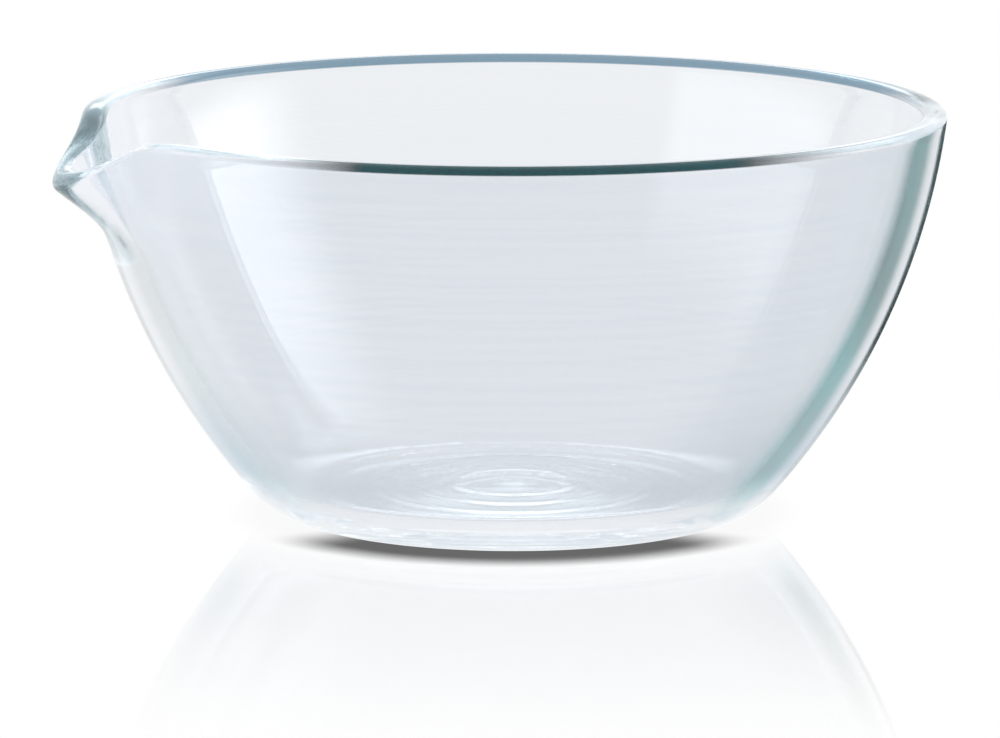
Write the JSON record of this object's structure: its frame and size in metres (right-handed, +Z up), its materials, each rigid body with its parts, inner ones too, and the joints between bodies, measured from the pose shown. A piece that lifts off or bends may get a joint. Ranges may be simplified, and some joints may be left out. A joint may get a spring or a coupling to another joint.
{
  "type": "spouted glass mixing bowl",
  "caption": "Round clear-glass mixing bowl with flared wall, crowned rim, drawn pouring lip and a flat standing ring; holds and pours batter or liquids.",
  "frame": {"origin": "on the standing surface, under the middle of the bowl's overall length with the lip included", "axes": "+Z up out of the bowl, the pouring lip points along -X, +Y completes the right-handed frame"},
  "size_m": [0.209, 0.2, 0.095],
  "materials": {
    "clear_glass": "clear pressed glass with a fire-polished surface and a faint blue-green tint in its thick edges"
  },
  "bodies": {
    "root": {"glass_bowl": "clear_glass"}
  },
  "joints": []
}
